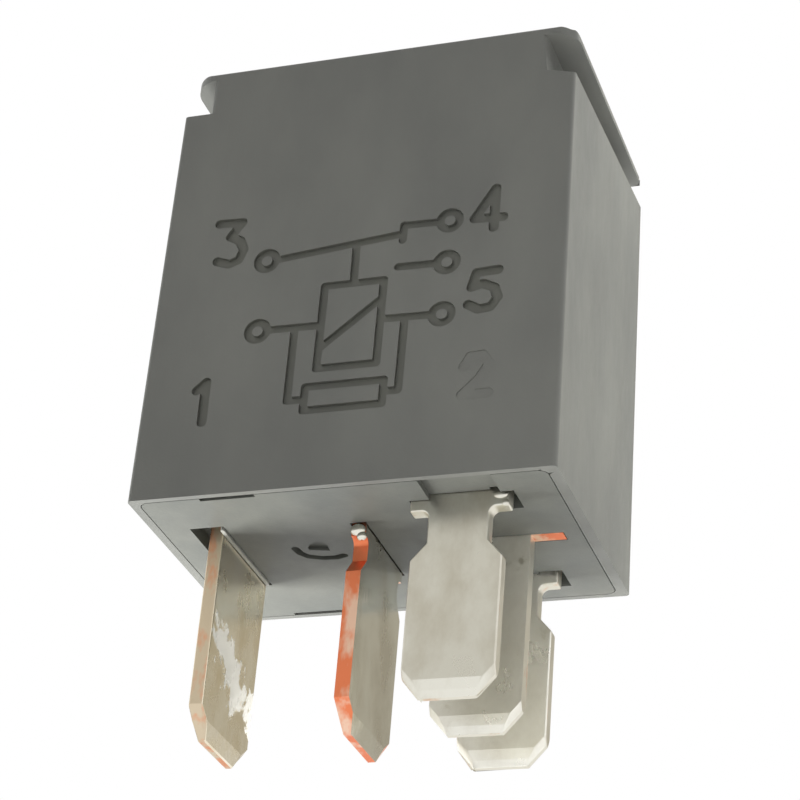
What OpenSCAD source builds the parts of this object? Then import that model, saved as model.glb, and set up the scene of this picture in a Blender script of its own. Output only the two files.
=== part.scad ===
// Plug-in micro relay with a changeover contact and five blade terminals.
// The origin is the centre of the seating plane, which is the underside of the base and the
// mouth of the cover. +Z points to the cover's top and the blades hang below. The face that
// carries the circuit diagram looks along -Y.

/* [Cover] */
// Outside width of the cover
cover_w = 22.5; // [22.3:0.1:26]
// Outside depth of the cover
cover_d = 15; // [14.8:0.1:18]
// Height of the cover above the seating plane
cover_h = 27; // [26.8:0.1:32]
// Thickness of the cover's walls and top
cover_wall = 0.9; // [0.6:0.05:0.95]
// Radius of the cover's upright corners
cover_corner_r = 0.6; // [0.3:0.05:0.85]
// Radius that softens the edges of the cover's top
top_edge_r = 0.25; // [0.1:0.05:0.45]
// Wall that the cover keeps round the base at its mouth
rim_t = 0.35; // [0.25:0.05:0.5]

/* [Pull grooves] */
// Distance that the neck stands in from the cover's side
groove_in = 1.55; // [1:0.05:1.6]
// Height of the groove at the front face
groove_front_h = 2.3; // [1.5:0.1:2.5]
// Height of the groove at the back face
groove_back_h = 1.2; // [1:0.1:2.2]
// Thickness of the lip over the groove
lip_t = 0.5; // [0.4:0.05:0.9]
// Distance that the lip stands in from the cover's side
lip_in = 0.1; // [0:0.05:0.6]
// Radius of the lip's front corners, seen from above
lip_front_r = 1.7; // [0.6:0.1:2]
// Radius of the lip's back corners, seen from above
lip_back_r = 0.5; // [0.3:0.1:1.5]

/* [Base] */
// Thickness of the base
base_t = 3; // [2.8:0.1:3.2]
// Thickness of the base's flange, which fills the cover's mouth
flange_t = 1.2; // [0.9:0.1:1.3]
// Radius of the flange's upright corners
flange_corner_r = 0.5; // [0.2:0.05:0.8]
// Height of the snap ribs
snap_h = 0.8; // [0.6:0.1:1]
// Distance that a snap rib stands out
snap_out = 0.25; // [0.15:0.05:0.35]
// Length of each snap rib
snap_l = 4; // [2:0.5:5]
// Depth of the pockets in the underside
pocket_depth = 0.8; // [0.3:0.1:1]
// Width of the prying notches in the base's front and back edges
pry_w = 3; // [2:0.5:4]
// Depth of the prying notches
pry_in = 0.25; // [0.15:0.05:0.4]

/* [Blades] */
// Thickness of the terminal sheet
sheet_t = 0.8; // [0.7:0.05:0.85]
// Length of the blades below the seating plane
blade_l = 11.1; // [9:0.1:14]
// Width of the common and normally open blades
wide_blade_w = 6.3; // [5.8:0.1:6.4]
// Width of the coil and normally closed blades
narrow_blade_w = 4.8; // [4.4:0.1:5]
// Width of the flat end of a wide blade
wide_tip_w = 3; // [2:0.1:4]
// Width of the flat end of a narrow blade
narrow_tip_w = 2.9; // [2:0.1:4]
// Height of the slanted corners of a wide blade's tip
wide_tip_h = 1.7; // [1:0.1:2.5]
// Height of the slanted corners of a narrow blade's tip
narrow_tip_h = 1.1; // [0.6:0.1:2]
// Height of the bevel that thins the tips
tip_bevel_h = 0.95; // [0.5:0.05:1.5]
// Depth of the bevel on each face
tip_bevel_in = 0.2; // [0.1:0.05:0.3]
// Width of the necks of the coil blades
coil_neck_w = 3.2; // [2.6:0.1:4]
// Width of the neck of the normally open blade
no_neck_w = 4.8; // [4:0.1:5.6]
// Depth at which a neck has widened to the whole blade
neck_end = 2.7; // [2.2:0.1:3.5]
// Depth to which the wide heads of the terminals reach below the base
head_below = 0.6; // [0.3:0.1:0.9]
// Width of the heads of the coil terminals
coil_head_w = 5.2; // [4.9:0.1:5.6]

/* [Blade places] */
// Centre of the common blade, along X
common_x = -8.1; // [-8.3:0.05:-8]
// Centre of the normally open blade, along X
no_x = -0.25; // [-1:0.05:1]
// Centre of the three narrow blades, along X
row_x = 5.8; // [5.6:0.05:6]
// Distance from the normally closed blade to each coil blade
row_pitch = 4.6; // [4.55:0.05:4.8]

/* [Coil] */
// Diameter of the core
core_d = 5; // [4:0.1:5.4]
// Diameter of the core's riveted end
spigot_d = 3.2; // [2.4:0.1:3.6]
// Diameter of the pole disc
pole_d = 7.2; // [6:0.1:7.6]
// Thickness of the pole disc
pole_t = 1; // [0.8:0.05:1.05]
// Wall of the bobbin's tube
tube_wall = 0.55; // [0.4:0.05:0.8]
// Thickness of the bobbin's flanges
bobbin_flange_t = 0.8; // [0.6:0.05:0.85]
// Width of the bobbin's flanges, along X
bobbin_w = 11.2; // [10.4:0.1:11.8]
// Depth of the bobbin's flanges, along Y
bobbin_d = 11.6; // [10.6:0.1:12.4]
// Height of the winding
winding_h = 11.4; // [9:0.1:11.5]
// Outside diameter of the winding
winding_d = 9.8; // [8:0.1:10.2]
// Thickness of the winding's wire, with the turns that show drawn coarse
turn_d = 0.38; // [0.3:0.02:0.6]
// Diameter of the winding's two ends
lead_d = 0.24; // [0.16:0.02:0.3]

/* [Yoke and armature] */
// Thickness of the yoke
yoke_t = 1.4; // [1.2:0.05:1.5]
// Width of the yoke, along Y
yoke_w = 9.2; // [8:0.1:10]
// Distance from the core's axis to the end of the yoke's foot
foot_l = 3.4; // [2.8:0.1:4.4]
// Thickness of the armature
armature_t = 1.3; // [1.1:0.05:1.35]
// Width of the armature, along Y
armature_w = 8.8; // [8:0.1:10]
// Distance from the core's axis to the armature's nose
nose_x = 4.3; // [3.8:0.1:4.6]
// Width of the armature's nose
nose_w = 5.2; // [4:0.1:6]
// Angle through which the armature tips open
open_angle = 3.3; // [2.6:0.1:3.5]
// Length of the armature's two hinge ears
ear_l = 1.15; // [1.1:0.05:1.5]

/* [Contacts] */
// Thickness of the contact spring
spring_t = 0.25; // [0.15:0.01:0.27]
// Width of the contact spring where it bends
spring_bend_w = 5.4; // [4.4:0.1:5.6]
// Width of the window that softens the bend
spring_window_w = 2.2; // [1.4:0.1:2.6]
// Width of the contact spring on the armature
spring_w = 6.8; // [6:0.1:8]
// Radius of the bend, at the middle of the spring's thickness
spring_bend_r = 1.1; // [1.05:0.01:1.2]
// Radius of the rounded end round the moving contact
spring_tip_r = 1.6; // [1.45:0.05:1.7]
// Distance from the risers' bends to the middle of the contacts
contact_in = 1.5; // [1.45:0.05:2]
// Diameter of the contacts
contact_d = 2.8; // [2.4:0.1:3]
// Height of the moving contact under the spring
moving_below = 0.7; // [0.5:0.05:0.8]
// Height of the moving contact over the spring
moving_above = 0.5; // [0.35:0.05:0.6]
// Radius of the moving contact's crowned faces
crown_r = 6; // [4:0.5:12]
// Height of the fixed contacts
fixed_h = 0.6; // [0.4:0.05:0.65]
// Diameter of the contacts' shanks
contact_shank_d = 1.4; // [1:0.1:1.6]
// Clearance between the two risers and the cover's wall
riser_clear = 0.45; // [0.3:0.05:0.6]
// Width of the riser of the normally open terminal
no_riser_w = 3.4; // [2.6:0.1:3.6]
// Width of the riser of the normally closed terminal
nc_riser_w = 3; // [2.4:0.1:3.4]

/* [Rivets] */
// Diameter of the rivets
rivet_d = 1.3; // [1:0.1:1.6]
// Diameter of the rivets' heads
rivet_head_d = 2; // [1.8:0.1:2.2]
// Height of the rivets' heads
rivet_head_h = 0.4; // [0.2:0.05:0.5]
// Distance between the two rivets of a pair
rivet_pitch = 3.4; // [2.8:0.1:3.6]
// Height of the yoke's rivets above the seating plane
yoke_rivet_z = 10.4; // [9:0.1:11.4]

/* [Resistor] */
// Length of the resistor's body
resistor_l = 5.6; // [4.4:0.1:6.4]
// Diameter of the resistor's end caps
resistor_d = 2.2; // [1.6:0.1:2.3]
// Diameter of the resistor's leads
resistor_lead_d = 0.5; // [0.4:0.02:0.6]
// Height of the resistor's axis above the base
resistor_rise = 2; // [1.7:0.1:2.4]

/* [Fits] */
// Clearance between pieces that are pressed or laid together
fit = 0.02; // [0.01:0.005:0.03]
// Clearance between the base and the cover
cover_fit = 0.05; // [0.02:0.01:0.08]
// Clearance round a terminal in its slot
slot_fit = 0.05; // [0.03:0.01:0.08]
// Clearance left at the contacts and at the pole where the armature stops
stop_gap = 0.03; // [0.02:0.01:0.05]

/* [Hidden] */
$fn = 64;

// Slack that lets one cutting solid run past a face, and one solid run into its own neighbour
past = 1;
join = 0.02;

// Cover
neck_w = cover_w - 2 * groove_in;
neck_corner_r = cover_corner_r / 2;
lip_w = cover_w - 2 * lip_in;
lip_z = cover_h - lip_t;
shoulder_front_z = lip_z - groove_front_h;
shoulder_back_z = lip_z - groove_back_h;
room_w = cover_w - 2 * cover_wall;
room_d = cover_d - 2 * cover_wall;
room_neck_w = neck_w - 2 * cover_wall;
room_side_z = min(shoulder_front_z, shoulder_back_z) - cover_wall;
room_z = cover_h - cover_wall;
room_corner_r = 0.3;

// Base
flange_w = cover_w - 2 * (rim_t + cover_fit);
flange_d = cover_d - 2 * (rim_t + cover_fit);
plug_w = room_w - 2 * cover_fit;
plug_d = room_d - 2 * cover_fit;
snap_z = flange_t + 0.5;
snap_x = 5;
pry_x = -6;
pocket_wide = 0.8;            // room that a pocket leaves on a blade's open side
pocket_narrow = 0.3;          // room that it leaves on the other sides
recess_depth = 0.3;
recess_more = 0.6;            // how much further the recess runs on its right
stop_z = flange_t;            // the terminals' shoulders sit at this height in the base

// Sheet-metal stack at the common terminal: tongue, spring, yoke
yoke_x = common_x + sheet_t / 2 + fit + spring_t + fit;
spring_back_x = yoke_x - fit - spring_t / 2;

// Coil stack, from the base up
foot_z = base_t + yoke_t;
bobbin_z = foot_z + fit;
winding_z = bobbin_z + bobbin_flange_t;
bobbin_top_z = winding_z + winding_h + bobbin_flange_t;
pole_z = bobbin_top_z + fit + pole_t;
tube_d = core_d + 2 * (fit + tube_wall);

// Armature in its closed place, as heights above the pole's face; the pivot is the yoke's
// top outer edge
armature_h = stop_gap;
armature_top_h = armature_h + armature_t;
spring_h = armature_top_h + fit;
spring_top_h = spring_h + spring_t;
moving_low_h = spring_h - moving_below;
moving_high_h = spring_top_h + moving_above;

// Risers by the cover's wall, and the contacts beside them
bend_r = 0.4;                 // inside radius of the sheet-metal bends
riser_out_x = room_w / 2 - riser_clear;
riser_in_x = riser_out_x - sheet_t;
contact_x = riser_in_x - bend_r - contact_in;
contact_arm = contact_x - yoke_x;

// Fixed contacts: their faces stand a stop gap away from the moving contact at each limit
no_face_z = pole_z + moving_low_h - stop_gap;
no_arm_z = no_face_z - fixed_h - sheet_t;
nc_face_z = pole_z + contact_arm * sin(open_angle)
    + (moving_high_h - crown_r) * cos(open_angle) + crown_r + stop_gap;
nc_arm_z = nc_face_z + fixed_h;

// Terminals
head_r = 0.4;                 // radius between a terminal's head and its neck
neck_slope_h = 0.9;
shoulder_out = 0.55;          // how far a terminal's shoulder stands out over its slot
shoulder_h = 1.4;
run_z = 1.4;                  // floor of the normally open terminal's run through the base
run_y = [-3.6, -1];
no_riser_y = run_y[1] - no_riser_w;
no_head_w = wide_blade_w - 0.5;
no_left_x = no_x - sheet_t / 2;
no_run_x = no_left_x + sheet_t + bend_r;
nc_riser_y = sheet_t / 2 + bend_r;
nc_slit = 0.2;
tongue_w = 5.6;
tongue_top_z = yoke_rivet_z + 1.9;
tongue_r = 1;

// Ends of the winding
lead_angle = 44;              // where the wire leaves the winding, seen from above
leave_r = (winding_d + lead_d) / 2 + fit;
lead_x = leave_r * cos(lead_angle);
lead_slot_y = leave_r * sin(lead_angle) + 0.2;
lead_over = 0.4;              // how far over the flange the wire leaves the winding

// Resistor and its posts
post_x = (bobbin_w / 2 + riser_in_x) / 2;
post_w = 1.5;
post_over = 0.9;              // how far a post stands above the resistor's axis
resistor_z = base_t + resistor_rise;
resistor_waist_d = resistor_d - 0.4;
resistor_cap_l = 1.2;
row_front_y = -row_pitch;
row_back_y = row_pitch;

// Contact spring at rest: a circle that touches the upright leg and the tipped blade
spring_mid_h = spring_h + spring_t / 2;
bend_x = spring_back_x + spring_bend_r;
bend_z = pole_z
    + (spring_mid_h - spring_bend_r + sin(open_angle) * (bend_x - yoke_x)) / cos(open_angle);
// where the straight blade starts, in the closed place's own X
spring_blade_x = yoke_x + (bend_x - yoke_x) * cos(open_angle) + (bend_z - pole_z) * sin(open_angle);
spring_foot_z = yoke_rivet_z - 1.7;
armature_rivet_x = -2.8;
spring_slope_x = 1;
window_foot_z = yoke_rivet_z + 2.6;
window_end_x = -5;

// ---------------------------------------------------------------- helpers

// Rectangle on the origin with round corners
module rounded_rect(w, d, r) {
    square([w - 2 * r, d], center = true);
    square([w, d - 2 * r], center = true);
    for (x = [-1, 1], y = [-1, 1])
        translate([x * (w / 2 - r), y * (d / 2 - r)]) circle(r);
}

// Quarter of a ring of sheet, in the first quadrant, which runs a little into both neighbours
module quarter_ring(inner, thick) {
    size = 2 * (inner + thick);
    difference() {
        circle(inner + thick);
        circle(inner);
        translate([-size - join, -size]) square([size, 2 * size]);
        translate([-size, -size - join]) square([2 * size, size]);
    }
}

// Lays an XZ outline upright and extrudes it from y = from to y = to
module along_y(from, to) {
    translate([0, to, 0]) rotate([90, 0, 0]) linear_extrude(to - from) children();
}

// Lays a YZ outline upright and extrudes it from x = from to x = to
module along_x(from, to) {
    translate([from, 0, 0]) rotate([90, 0, 90]) linear_extrude(to - from) children();
}

// Cylinder along X or Y
module rod_x(d, from, to) {
    translate([from, 0, 0]) rotate([0, 90, 0]) cylinder(d = d, h = to - from);
}
module rod_y(d, from, to) {
    translate([0, from, 0]) rotate([-90, 0, 0]) cylinder(d = d, h = to - from);
}

// Taut wire from one point to another
module wire(from, to, d) {
    run = to - from;
    translate(from) rotate([0, acos(run[2] / norm(run)), atan2(run[1], run[0])])
        cylinder(d = d, h = norm(run));
}

// Puts what is drawn about the pivot, in the closed place, into the open place
module tipped() {
    translate([yoke_x, 0, pole_z]) rotate([0, -open_angle, 0]) translate([-yoke_x, 0, -pole_z])
        children();
}

// ---------------------------------------------------------------- cover

module cover_outside() {
    intersection() {
        union() {
            intersection() {
                linear_extrude(cover_h) rounded_rect(cover_w, cover_d, cover_corner_r);
                along_x(-cover_w, cover_w) polygon([
                    [-cover_d, 0], [cover_d, 0],
                    [cover_d, shoulder_z(cover_d)], [-cover_d, shoulder_z(-cover_d)]
                ]);
            }
            linear_extrude(lip_z + join) rounded_rect(neck_w, cover_d, neck_corner_r);
            intersection() {
                translate([0, 0, lip_z]) linear_extrude(lip_t) lip_outline();
                along_y(-cover_d, cover_d) topped_outline(lip_w);
            }
        }
        along_x(-cover_w, cover_w) topped_outline(cover_d);
    }
}

// Lip seen from above, with wider corners at the front than at the back
module lip_outline() {
    rounded_rect(lip_w, cover_d, lip_front_r);
    translate([0, cover_d / 4]) rounded_rect(lip_w, cover_d / 2, lip_back_r);
}

// Height of the groove's floor at a place from front to back
function shoulder_z(y) =
    shoulder_front_z + (shoulder_back_z - shoulder_front_z) * (y / cover_d + 0.5);

// Upright outline with softened top corners
module topped_outline(w) {
    translate([-w / 2, 0]) square([w, cover_h - top_edge_r]);
    translate([top_edge_r - w / 2, 0]) square([w - 2 * top_edge_r, cover_h]);
    for (x = [-1, 1])
        translate([x * (w / 2 - top_edge_r), cover_h - top_edge_r]) circle(top_edge_r);
}

module cover_room() {
    translate([0, 0, -past]) {
        linear_extrude(past + flange_t + cover_fit)
            rounded_rect(cover_w - 2 * rim_t, cover_d - 2 * rim_t, flange_corner_r + cover_fit);
        linear_extrude(past + room_side_z) rounded_rect(room_w, room_d, room_corner_r);
        linear_extrude(past + room_z) rounded_rect(room_neck_w, room_d, room_corner_r);
    }
}

// Ridge along X with a sloping upper flank, which catches in the cover
module snap_ridge(out, h, l) {
    rotate([90, 0, 90]) linear_extrude(l, center = true)
        polygon([[-past / 4, 0], [out, 0], [out, h / 4], [0, h], [-past / 4, h]]);
}

module snap_ridges(out, h, l, z) {
    for (x = [-snap_x, snap_x], side = [0, 1])
        mirror([0, side, 0]) translate([x, plug_d / 2, z]) snap_ridge(out, h, l);
}

module cover() {
    color("#3a3b39") difference() {
        cover_outside();
        cover_room();
        snap_ridges(snap_out + cover_fit, snap_h + 2 * cover_fit, snap_l + 4 * cover_fit,
            snap_z - cover_fit);
    }
}

// ---------------------------------------------------------------- base

module slot(x, y, from, to) {
    translate([x[0] - slot_fit, y[0] - slot_fit, from])
        cube([x[1] - x[0] + 2 * slot_fit, y[1] - y[0] + 2 * slot_fit, to - from]);
}

// Slot through the base for a blade, with a wider step on which the terminal's shoulder sits
module stepped_slot(x, y, out_x, out_y) {
    slot(x, y, -past, base_t + past);
    slot([x[0] - out_x, x[1] + out_x], [y[0] - out_y, y[1] + out_y], stop_z - fit, base_t + past);
}

function span(centre, w) = [centre - w / 2, centre + w / 2];

module base_slots() {
    stepped_slot(span(common_x, sheet_t), span(0, wide_blade_w), 0, shoulder_out);
    stepped_slot(span(row_x, coil_head_w), span(row_front_y, sheet_t), shoulder_out, 0);
    stepped_slot(span(row_x, coil_head_w), span(row_back_y, sheet_t), shoulder_out, 0);
    // normally open terminal: blade, run and riser
    slot(span(no_x, sheet_t), span(0, wide_blade_w), -past, base_t + past);
    slot([no_left_x, riser_out_x], run_y, run_z - fit, base_t + past);
    slot([no_left_x, no_run_x], run_y, run_z - bend_r - fit, base_t + past);
    slot([riser_in_x, riser_out_x], [no_riser_y, run_y[1]], run_z - fit, base_t + past);
    // normally closed terminal: blade, its long shoulder and riser
    slot([row_x - narrow_blade_w / 2, riser_out_x], span(0, sheet_t), -past, base_t + past);
    slot([row_x - narrow_blade_w / 2 - shoulder_out, row_x], span(0, sheet_t), stop_z - fit,
        base_t + past);
    slot([riser_in_x - bend_r, riser_out_x], [0, nc_riser_y + nc_riser_w], stop_z - fit,
        base_t + past);
}

module underside_pockets() {
    half_sheet = sheet_t / 2;
    half_blade = wide_blade_w / 2;
    // round the common blade
    pocket([common_x - half_sheet - pocket_wide, common_x + half_sheet + pocket_narrow],
        [-half_blade - pocket_wide, half_blade + slot_fit], pocket_depth);
    // beside the heads of the coil terminals
    for (y = [row_front_y, row_back_y])
        pocket([row_x + coil_neck_w / 2, row_x + coil_head_w / 2 + pocket_narrow],
            [y - half_sheet - pocket_narrow, y + half_sheet + pocket_wide], pocket_depth);
    // shallow recess from the front edge to the front coil terminal
    pocket([row_x - coil_neck_w / 2, row_x + coil_neck_w / 2 + recess_more],
        [-flange_d / 2 - past, row_front_y], recess_depth);
}

module pocket(x, y, depth) {
    translate([x[0], y[0], -past]) cube([x[1] - x[0], y[1] - y[0], past + depth]);
}

module base() {
    color("#4a4b48") difference() {
        union() {
            linear_extrude(flange_t) rounded_rect(flange_w, flange_d, flange_corner_r);
            linear_extrude(base_t) rounded_rect(plug_w, plug_d, room_corner_r - cover_fit);
            snap_ridges(snap_out, snap_h, snap_l, snap_z);
            yoke_guides();
        }
        base_slots();
        underside_pockets();
        for (side = [0, 1])
            mirror([0, side, 0]) translate([pry_x - pry_w / 2, flange_d / 2 - pry_in, -past])
                cube([pry_w, pry_in + past, flange_t + 2 * past]);
    }
}

// Two low walls that hold the yoke's foot between them
module yoke_guides() {
    guide_l = 4;
    guide_t = 0.8;
    for (side = [0, 1])
        mirror([0, side, 0]) translate([yoke_x + 1.6, yoke_w / 2 + fit, 0])
            cube([guide_l, guide_t, foot_z - join]);
}

// ---------------------------------------------------------------- blade outlines

// Outline of a blade from its tip up to the height z, centred on 0
module blade_outline(w, tip_w, tip_h, z) {
    polygon([
        [-w / 2, z], [-w / 2, tip_h - blade_l], [-tip_w / 2, -blade_l],
        [tip_w / 2, -blade_l], [w / 2, tip_h - blade_l], [w / 2, z]
    ]);
}

// Outline of a blade with a neck, from its tip up to the height z, centred on 0; rounded corners
// join the neck to the head above it
module necked_outline(w, tip_w, tip_h, neck, z) {
    polygon([
        [-neck / 2, z], [-neck / 2, neck_slope_h - neck_end], [-w / 2, -neck_end],
        [-w / 2, tip_h - blade_l], [-tip_w / 2, -blade_l], [tip_w / 2, -blade_l],
        [w / 2, tip_h - blade_l], [w / 2, -neck_end], [neck / 2, neck_slope_h - neck_end],
        [neck / 2, z]
    ]);
    difference() {
        translate([-neck / 2 - head_r, -head_below - head_r])
            square([neck + 2 * head_r, head_below + head_r]);
        for (x = [-1, 1])
            translate([x * (neck / 2 + head_r), -head_below - head_r]) circle(head_r);
    }
}

// Side view of a blade: thinned by a bevel on both faces towards its tip, tall enough to reach top
module bevel_outline(top) {
    thin = sheet_t / 2 - tip_bevel_in;
    polygon([
        [-thin, -blade_l], [thin, -blade_l], [sheet_t / 2, tip_bevel_h - blade_l],
        [sheet_t / 2, top], [-sheet_t / 2, top], [-sheet_t / 2, tip_bevel_h - blade_l]
    ]);
}

// ---------------------------------------------------------------- terminals

// Common terminal: blade, shoulders and the tongue that is riveted behind the spring
module terminal_common() {
    color("#b9b7ab") difference() {
        intersection() {
            along_x(common_x - sheet_t, common_x + sheet_t) {
                blade_outline(wide_blade_w, wide_tip_w, wide_tip_h, stop_z + join);
                translate([-wide_blade_w / 2 - shoulder_out, stop_z])
                    square([wide_blade_w + 2 * shoulder_out, shoulder_h]);
                tongue_outline();
            }
            along_y(-wide_blade_w, wide_blade_w) translate([common_x, 0]) bevel_outline(tongue_top_z);
        }
        yoke_rivet_holes();
    }
}

// Tongue of the common terminal, round at its top corners
module tongue_outline() {
    inner_w = tongue_w - 2 * tongue_r;
    translate([-tongue_w / 2, stop_z]) square([tongue_w, tongue_top_z - tongue_r - stop_z]);
    translate([-inner_w / 2, stop_z]) square([inner_w, tongue_top_z - stop_z]);
    for (y = [-1, 1]) translate([y * inner_w / 2, tongue_top_z - tongue_r]) circle(tongue_r);
}

// Coil terminal, drawn with its sheet on y = 0: blade, neck, head, shoulders and forked post
module coil_terminal() {
    notch_w = resistor_lead_d + 2 * fit;
    post_top_z = resistor_z + post_over;
    difference() {
        intersection() {
            along_y(-sheet_t, sheet_t) {
                translate([row_x, 0]) {
                    necked_outline(narrow_blade_w, narrow_tip_w, narrow_tip_h, coil_neck_w, stop_z);
                    translate([-coil_head_w / 2, -head_below])
                        square([coil_head_w, head_below + stop_z + join]);
                    translate([-coil_head_w / 2 - shoulder_out, stop_z])
                        square([coil_head_w + 2 * shoulder_out, shoulder_h]);
                }
                translate([post_x - post_w / 2, stop_z]) square([post_w, post_top_z - stop_z]);
            }
            along_x(row_x - 2 * coil_head_w, row_x + 2 * coil_head_w) bevel_outline(post_top_z);
        }
        translate([post_x, 0, resistor_z]) rod_y(notch_w, -past, past);
        translate([post_x - notch_w / 2, -past, resistor_z]) cube([notch_w, 2 * past, post_over + past]);
    }
}

module terminal_coil_front() {
    color("#c1bfb2") translate([0, row_front_y, 0]) coil_terminal();
}

module terminal_coil_back() {
    color("#c1bfb2") translate([0, row_back_y, 0]) coil_terminal();
}

// Riser and arm in side view: up the right wall, round a bend and in over the contacts
module riser_outline(from_z, arm_z, arm_end_x) {
    bend_top = arm_z + sheet_t;
    translate([riser_in_x, from_z]) square([sheet_t, arm_z - bend_r - from_z]);
    translate([riser_in_x - bend_r, arm_z - bend_r]) quarter_ring(bend_r, sheet_t);
    translate([arm_end_x, arm_z]) square([riser_in_x - bend_r - arm_end_x, sheet_t]);
}

// Widened end of a contact arm, seen from above
module arm_head(side) {
    head_d = contact_d + 0.5;
    translate([contact_x, 0]) circle(d = head_d);
    translate([contact_x - head_d / 2, side > 0 ? 0 : -1 - join])
        square([head_d, 1 + join]);
}

// Normally open terminal: blade, run under the coil, riser and the lower contact arm
module terminal_no() {
    riser_foot_z = run_z + sheet_t + bend_r;
    color("#b9b7ab") difference() {
        union() {
            intersection() {
                along_x(no_x - sheet_t, no_x + sheet_t) {
                    necked_outline(wide_blade_w, wide_tip_w, wide_tip_h, no_neck_w, run_z - bend_r);
                    translate([-no_head_w / 2, -head_below])
                        square([no_head_w, head_below + run_z - bend_r]);
                }
                along_y(-wide_blade_w, wide_blade_w) translate([no_x, 0]) bevel_outline(run_z);
            }
            along_y(run_y[0], run_y[1]) {
                translate([no_left_x, run_z - bend_r - join]) square([sheet_t, join]);
                translate([no_run_x, run_z - bend_r]) mirror([1, 0]) quarter_ring(bend_r, sheet_t);
                translate([no_run_x, run_z])
                    square([riser_in_x - bend_r - no_run_x, sheet_t]);
                translate([riser_in_x - bend_r, riser_foot_z]) mirror([0, 1])
                    quarter_ring(bend_r, sheet_t);
                translate([riser_in_x, riser_foot_z]) square([sheet_t, join]);
            }
            along_y(no_riser_y, run_y[1])
                riser_outline(riser_foot_z, no_arm_z, contact_x - contact_d / 2);
            translate([0, 0, no_arm_z]) linear_extrude(sheet_t) arm_head(-1);
        }
        translate([contact_x, 0, no_arm_z - past])
            cylinder(d = contact_shank_d + 2 * fit, h = sheet_t + 2 * past);
    }
}

// Normally closed terminal: blade, long shoulder folded into a riser, a straight tab slit from
// the fold, and the upper contact arm
module terminal_nc() {
    fold_x = riser_in_x - bend_r;
    shoulder_x = row_x - narrow_blade_w / 2 - shoulder_out;
    color("#b9b7ab") difference() {
        union() {
            intersection() {
                along_y(-sheet_t, sheet_t) {
                    translate([row_x, 0])
                        blade_outline(narrow_blade_w, narrow_tip_w, narrow_tip_h, stop_z + join);
                    translate([shoulder_x, stop_z]) square([fold_x - shoulder_x, shoulder_h]);
                    translate([row_x, 0]) square([fold_x - row_x, stop_z + join]);
                    translate([row_x, 0]) square([riser_out_x - row_x, stop_z - nc_slit]);
                }
                along_x(shoulder_x - past, riser_out_x + past) bevel_outline(stop_z + shoulder_h);
            }
            translate([fold_x, nc_riser_y, stop_z]) linear_extrude(shoulder_h) mirror([0, 1])
                quarter_ring(bend_r, sheet_t);
            along_y(nc_riser_y, nc_riser_y + nc_riser_w)
                riser_outline(stop_z, nc_arm_z, contact_x - contact_d / 2);
            translate([0, 0, nc_arm_z]) linear_extrude(sheet_t) arm_head(1);
        }
        translate([contact_x, 0, nc_arm_z - past])
            cylinder(d = contact_shank_d + 2 * fit, h = sheet_t + 2 * past);
    }
}

// ---------------------------------------------------------------- magnet

module yoke_rivet_holes() {
    for (y = [-1, 1])
        translate([0, y * rivet_pitch / 2, yoke_rivet_z])
            rod_x(rivet_d + 2 * fit, common_x - past, yoke_x + yoke_t + past);
}

// L-shaped yoke: foot under the coil, leg up to the armature's edge
module yoke() {
    inner = 0.3;
    outer = inner + yoke_t;
    foot_corner_r = 1;
    color("#8f9294") difference() {
        along_y(-yoke_w / 2, yoke_w / 2) {
            translate([yoke_x, base_t + outer]) square([yoke_t, pole_z - base_t - outer]);
            translate([yoke_x + outer, base_t + outer]) rotate(180) quarter_ring(inner, yoke_t);
            translate([yoke_x + outer, base_t]) square([foot_l - yoke_x - outer, yoke_t]);
        }
        cylinder(d = spigot_d + 2 * fit, h = foot_z + past);
        yoke_rivet_holes();
        for (side = [0, 1])
            mirror([0, side, 0]) translate([foot_l - foot_corner_r, yoke_w / 2 - foot_corner_r, 0])
                difference() {
                    cube([foot_corner_r + past, foot_corner_r + past, foot_z + past]);
                    cylinder(r = foot_corner_r, h = foot_z + past);
                }
    }
}

// Core, turned in one piece with the pole disc and the riveted end
module core() {
    color("#9a9da0") rotate_extrude() polygon([
        [0, base_t + fit], [spigot_d / 2, base_t + fit], [spigot_d / 2, foot_z + fit],
        [core_d / 2, foot_z + fit], [core_d / 2, bobbin_top_z + fit],
        [pole_d / 2, bobbin_top_z + fit], [pole_d / 2, pole_z - 0.15], [pole_d / 2 - 0.15, pole_z],
        [0, pole_z]
    ]);
}

// Bobbin: tube, two flanges and slots that lead the wire's ends out
module bobbin() {
    flange_r = 1.2;
    wire_slot = 0.6;
    color("#d8d2bd") difference() {
        union() {
            translate([0, 0, bobbin_z]) {
                linear_extrude(bobbin_flange_t) rounded_rect(bobbin_w, bobbin_d, flange_r);
                cylinder(d = tube_d, h = bobbin_top_z - bobbin_z);
            }
            translate([0, 0, bobbin_top_z - bobbin_flange_t])
                linear_extrude(bobbin_flange_t) rounded_rect(bobbin_w, bobbin_d, flange_r);
        }
        translate([0, 0, bobbin_z - past])
            cylinder(d = core_d + 2 * fit, h = bobbin_top_z - bobbin_z + 2 * past);
        for (y = [-1, 1])
            translate([lead_x, y * lead_slot_y - wire_slot / 2, bobbin_z - past])
                cube([bobbin_w, wire_slot, bobbin_flange_t + 2 * past]);
    }
}

// Winding: a wound body whose outer turns show as ridges
module winding() {
    bottom = winding_z + fit;
    height = winding_h - 2 * fit;
    turns = floor(height / turn_d);
    pitch = height / turns;
    color("#a8532a") translate([0, 0, bottom]) rotate_extrude() {
        translate([tube_d / 2 + fit, 0]) square([(winding_d - tube_d - pitch) / 2 - fit, height]);
        for (i = [0 : turns - 1])
            translate([(winding_d - pitch) / 2, (i + 0.5) * pitch]) circle(d = pitch);
    }
}

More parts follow.
